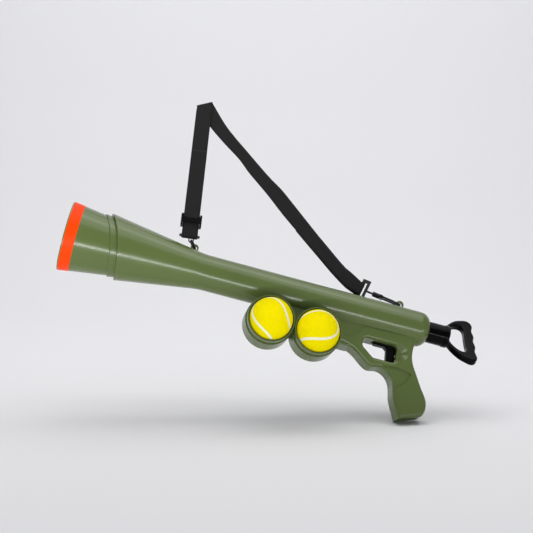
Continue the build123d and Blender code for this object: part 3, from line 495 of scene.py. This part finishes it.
def ribbon(name, stations, body):
    # a closed band of webbing through the stations; returns its length too
    shape = bmesh.new()
    uv = shape.loops.layers.uv.new("weave")
    half = strapForm["width"] / 2
    thick = strapForm["thick"] / 2
    lanes = strapForm["lanes"]
    rows = []
    run = 0
    previous = None
    for centre, across, face in stations:
        centre = centre * mm
        if previous is not None:
            run += (centre - previous).length
        previous = centre
        row = []
        for lane in range(lanes + 1):
            side = lane / lanes * 2 - 1
            edge = 1 - max(0, abs(side) - strapForm["bevelFrom"]) * strapForm["bevel"]
            spot = centre + across * half * side
            row.append((shape.verts.new(spot + face * thick * edge),
                        shape.verts.new(spot - face * thick * edge), side * half, run))
        rows.append(row)
    for low, high in zip(rows, rows[1:]):
        for a, b, c, d in zip(low, low[1:], high[1:], high):
            for layer in (0, 1):
                corners = (a, b, c, d) if layer == 0 else (d, c, b, a)
                quad = shape.faces.new([corner[layer] for corner in corners])
                for loop, corner in zip(quad.loops, corners):
                    loop[uv].uv = (corner[2], corner[3])
        for end, order in ((0, 1), (lanes, -1)):
            shape.faces.new([high[end][0], high[end][1], low[end][1], low[end][0]][::order])
    for row, order in ((rows[0], 1), (rows[-1], -1)):
        for a, b in zip(row, row[1:]):
            shape.faces.new([a[0], a[1], b[1], b[0]][::order])
    bmesh.ops.recalc_face_normals(shape, faces=shape.faces)
    piece = meshObject(name, shape)
    piece.data.materials.append(webbing)
    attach(piece, body)
    print(name, "is", round(run, 4), "m long")
    return piece, run


strap, strapLength = ribbon("strap_webbing", strapFrames(), "launcher")
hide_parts("strap")
print("strap ready")

# ---- plain CAD nodes take their finish by slot
materials.update({"webbing": webbing, "ball": felt})
slots = {item["node"]: item["material_slot"] for item in frame["record"]["subparts"]}
for name, node in nodes.items():
    node.data.materials.clear()
    node.data.materials.append(materials[slots[name]])
print("finishes ready")

# ---- stage: a pale sweep and its lights, placed from the camera
stageLook = {"pitch": 6.0, "floorColour": (0.80, 0.80, 0.815), "mottle": 0.99, "mottleScale": 3.0,
             "frontDepth": -1.5, "backDepth": 3.4, "curve": 0.9, "height": 4.0, "halfWidth": 4,
             "worldColour": (0.75, 0.75, 0.78, 1), "worldStrength": 0.38}
lamps = {"overhead": {"spot": (0.0, 1.75, 2.1), "aim": (0, 1.75, 0.35), "size": (3.4, 2.4),
                      "power": 36},
         "backWash": {"spot": (0.0, 1.9, 2.6), "aim": (0, 3.4, 0.8), "size": (3.0, 0.8), "power": 13},
         "frontStrip": {"spot": (0.0, 0.72, 0.03), "aim": (0.0, 0.8, 1.0), "size": (2.8, 0.12),
                        "power": 42}}


def stageFrame():
    pitch = math.radians(stageLook["pitch"])
    up = rowTurn((0, -math.sin(pitch), math.cos(pitch)))
    back = rowTurn((0, math.cos(pitch), math.sin(pitch)))
    right = rowTurn((1, 0, 0))
    lowest = min(((nodes[n].matrix_world @ v.co).dot(up), nodes[n].matrix_world @ v.co)
                 for n in ("body_left_shell", "body_right_shell") for v in nodes[n].data.vertices)[1]
    return right, back, up, lowest


right, back, up, lowest = stageFrame()
cameraSpot = rowPoint(0, 0, 0)
underCamera = cameraSpot - up * (cameraSpot - lowest).dot(up)


def stagePoint(x, y, z):
    # x right and y away from under the camera, z above the floor
    return underCamera + right * x + back * y + up * z


def sweepMesh():
    shape = bmesh.new()
    # a floor that curves up into a wall
    curve, wall = stageLook["curve"], stageLook["backDepth"]
    profile = [(stageLook["frontDepth"], 0)]
    for i in range(25):
        angle = math.pi / 2 * i / 24
        profile.append((wall - curve * (1 - math.sin(angle)), curve * (1 - math.cos(angle))))
    profile.append((wall, stageLook["height"]))
    wide = stageLook["halfWidth"]
    rows = [[shape.verts.new(stagePoint(x, y, z)) for x in (-wide, wide)] for y, z in profile]
    for low, high in zip(rows, rows[1:]):
        shape.faces.new((low[0], low[1], high[1], high[0]))
    sweep = meshObject("sweep", shape)
    material, tree, shader = newMaterial("paperSweep")
    place = addNode(tree, "ShaderNodeNewGeometry").outputs["Position"]
    mottle = addNode(tree, "ShaderNodeTexNoise", {"Vector": place, "Scale": stageLook["mottleScale"],
                                                   "Detail": 3.0})
    tone = addNode(tree, "ShaderNodeMix", {"Factor": mottle.outputs["Fac"],
                                           "A": (*(c * stageLook["mottle"]
                                                   for c in stageLook["floorColour"]), 1),
                                           "B": (*stageLook["floorColour"], 1)}, data_type="RGBA")
    tree.links.new(tone.outputs["Result"], shader.inputs["Base Color"])
    shader.inputs["Roughness"].default_value = 0.9
    shader.inputs["Specular IOR Level"].default_value = 0.1
    sweep.data.materials.append(material)
    return sweep


sweepMesh()


def areaLight(name, spot, aim, size, power):
    light = bpy.data.lights.new(name, "AREA")
    light.shape = "RECTANGLE"
    light.size, light.size_y = size
    light.energy = power
    lamp = bpy.data.objects.new(name, light)
    bpy.context.scene.collection.objects.link(lamp)
    at = stagePoint(*spot)
    facing = (stagePoint(*aim) - at).normalized()
    side = facing.cross(up).normalized() if abs(facing.dot(up)) < 0.99 else right
    lamp.visible_camera = False
    lamp.matrix_world = axesMatrix(side, side.cross(facing), -facing, at)


for name, lamp in lamps.items():
    areaLight(name, **lamp)

world = bpy.data.worlds.new("studio")
bpy.context.scene.world = world
world.use_nodes = True
background = world.node_tree.nodes["Background"]
background.inputs["Color"].default_value = stageLook["worldColour"]
background.inputs["Strength"].default_value = stageLook["worldStrength"]

bpy.context.scene.view_settings.view_transform = "Standard"
print("stage ready")
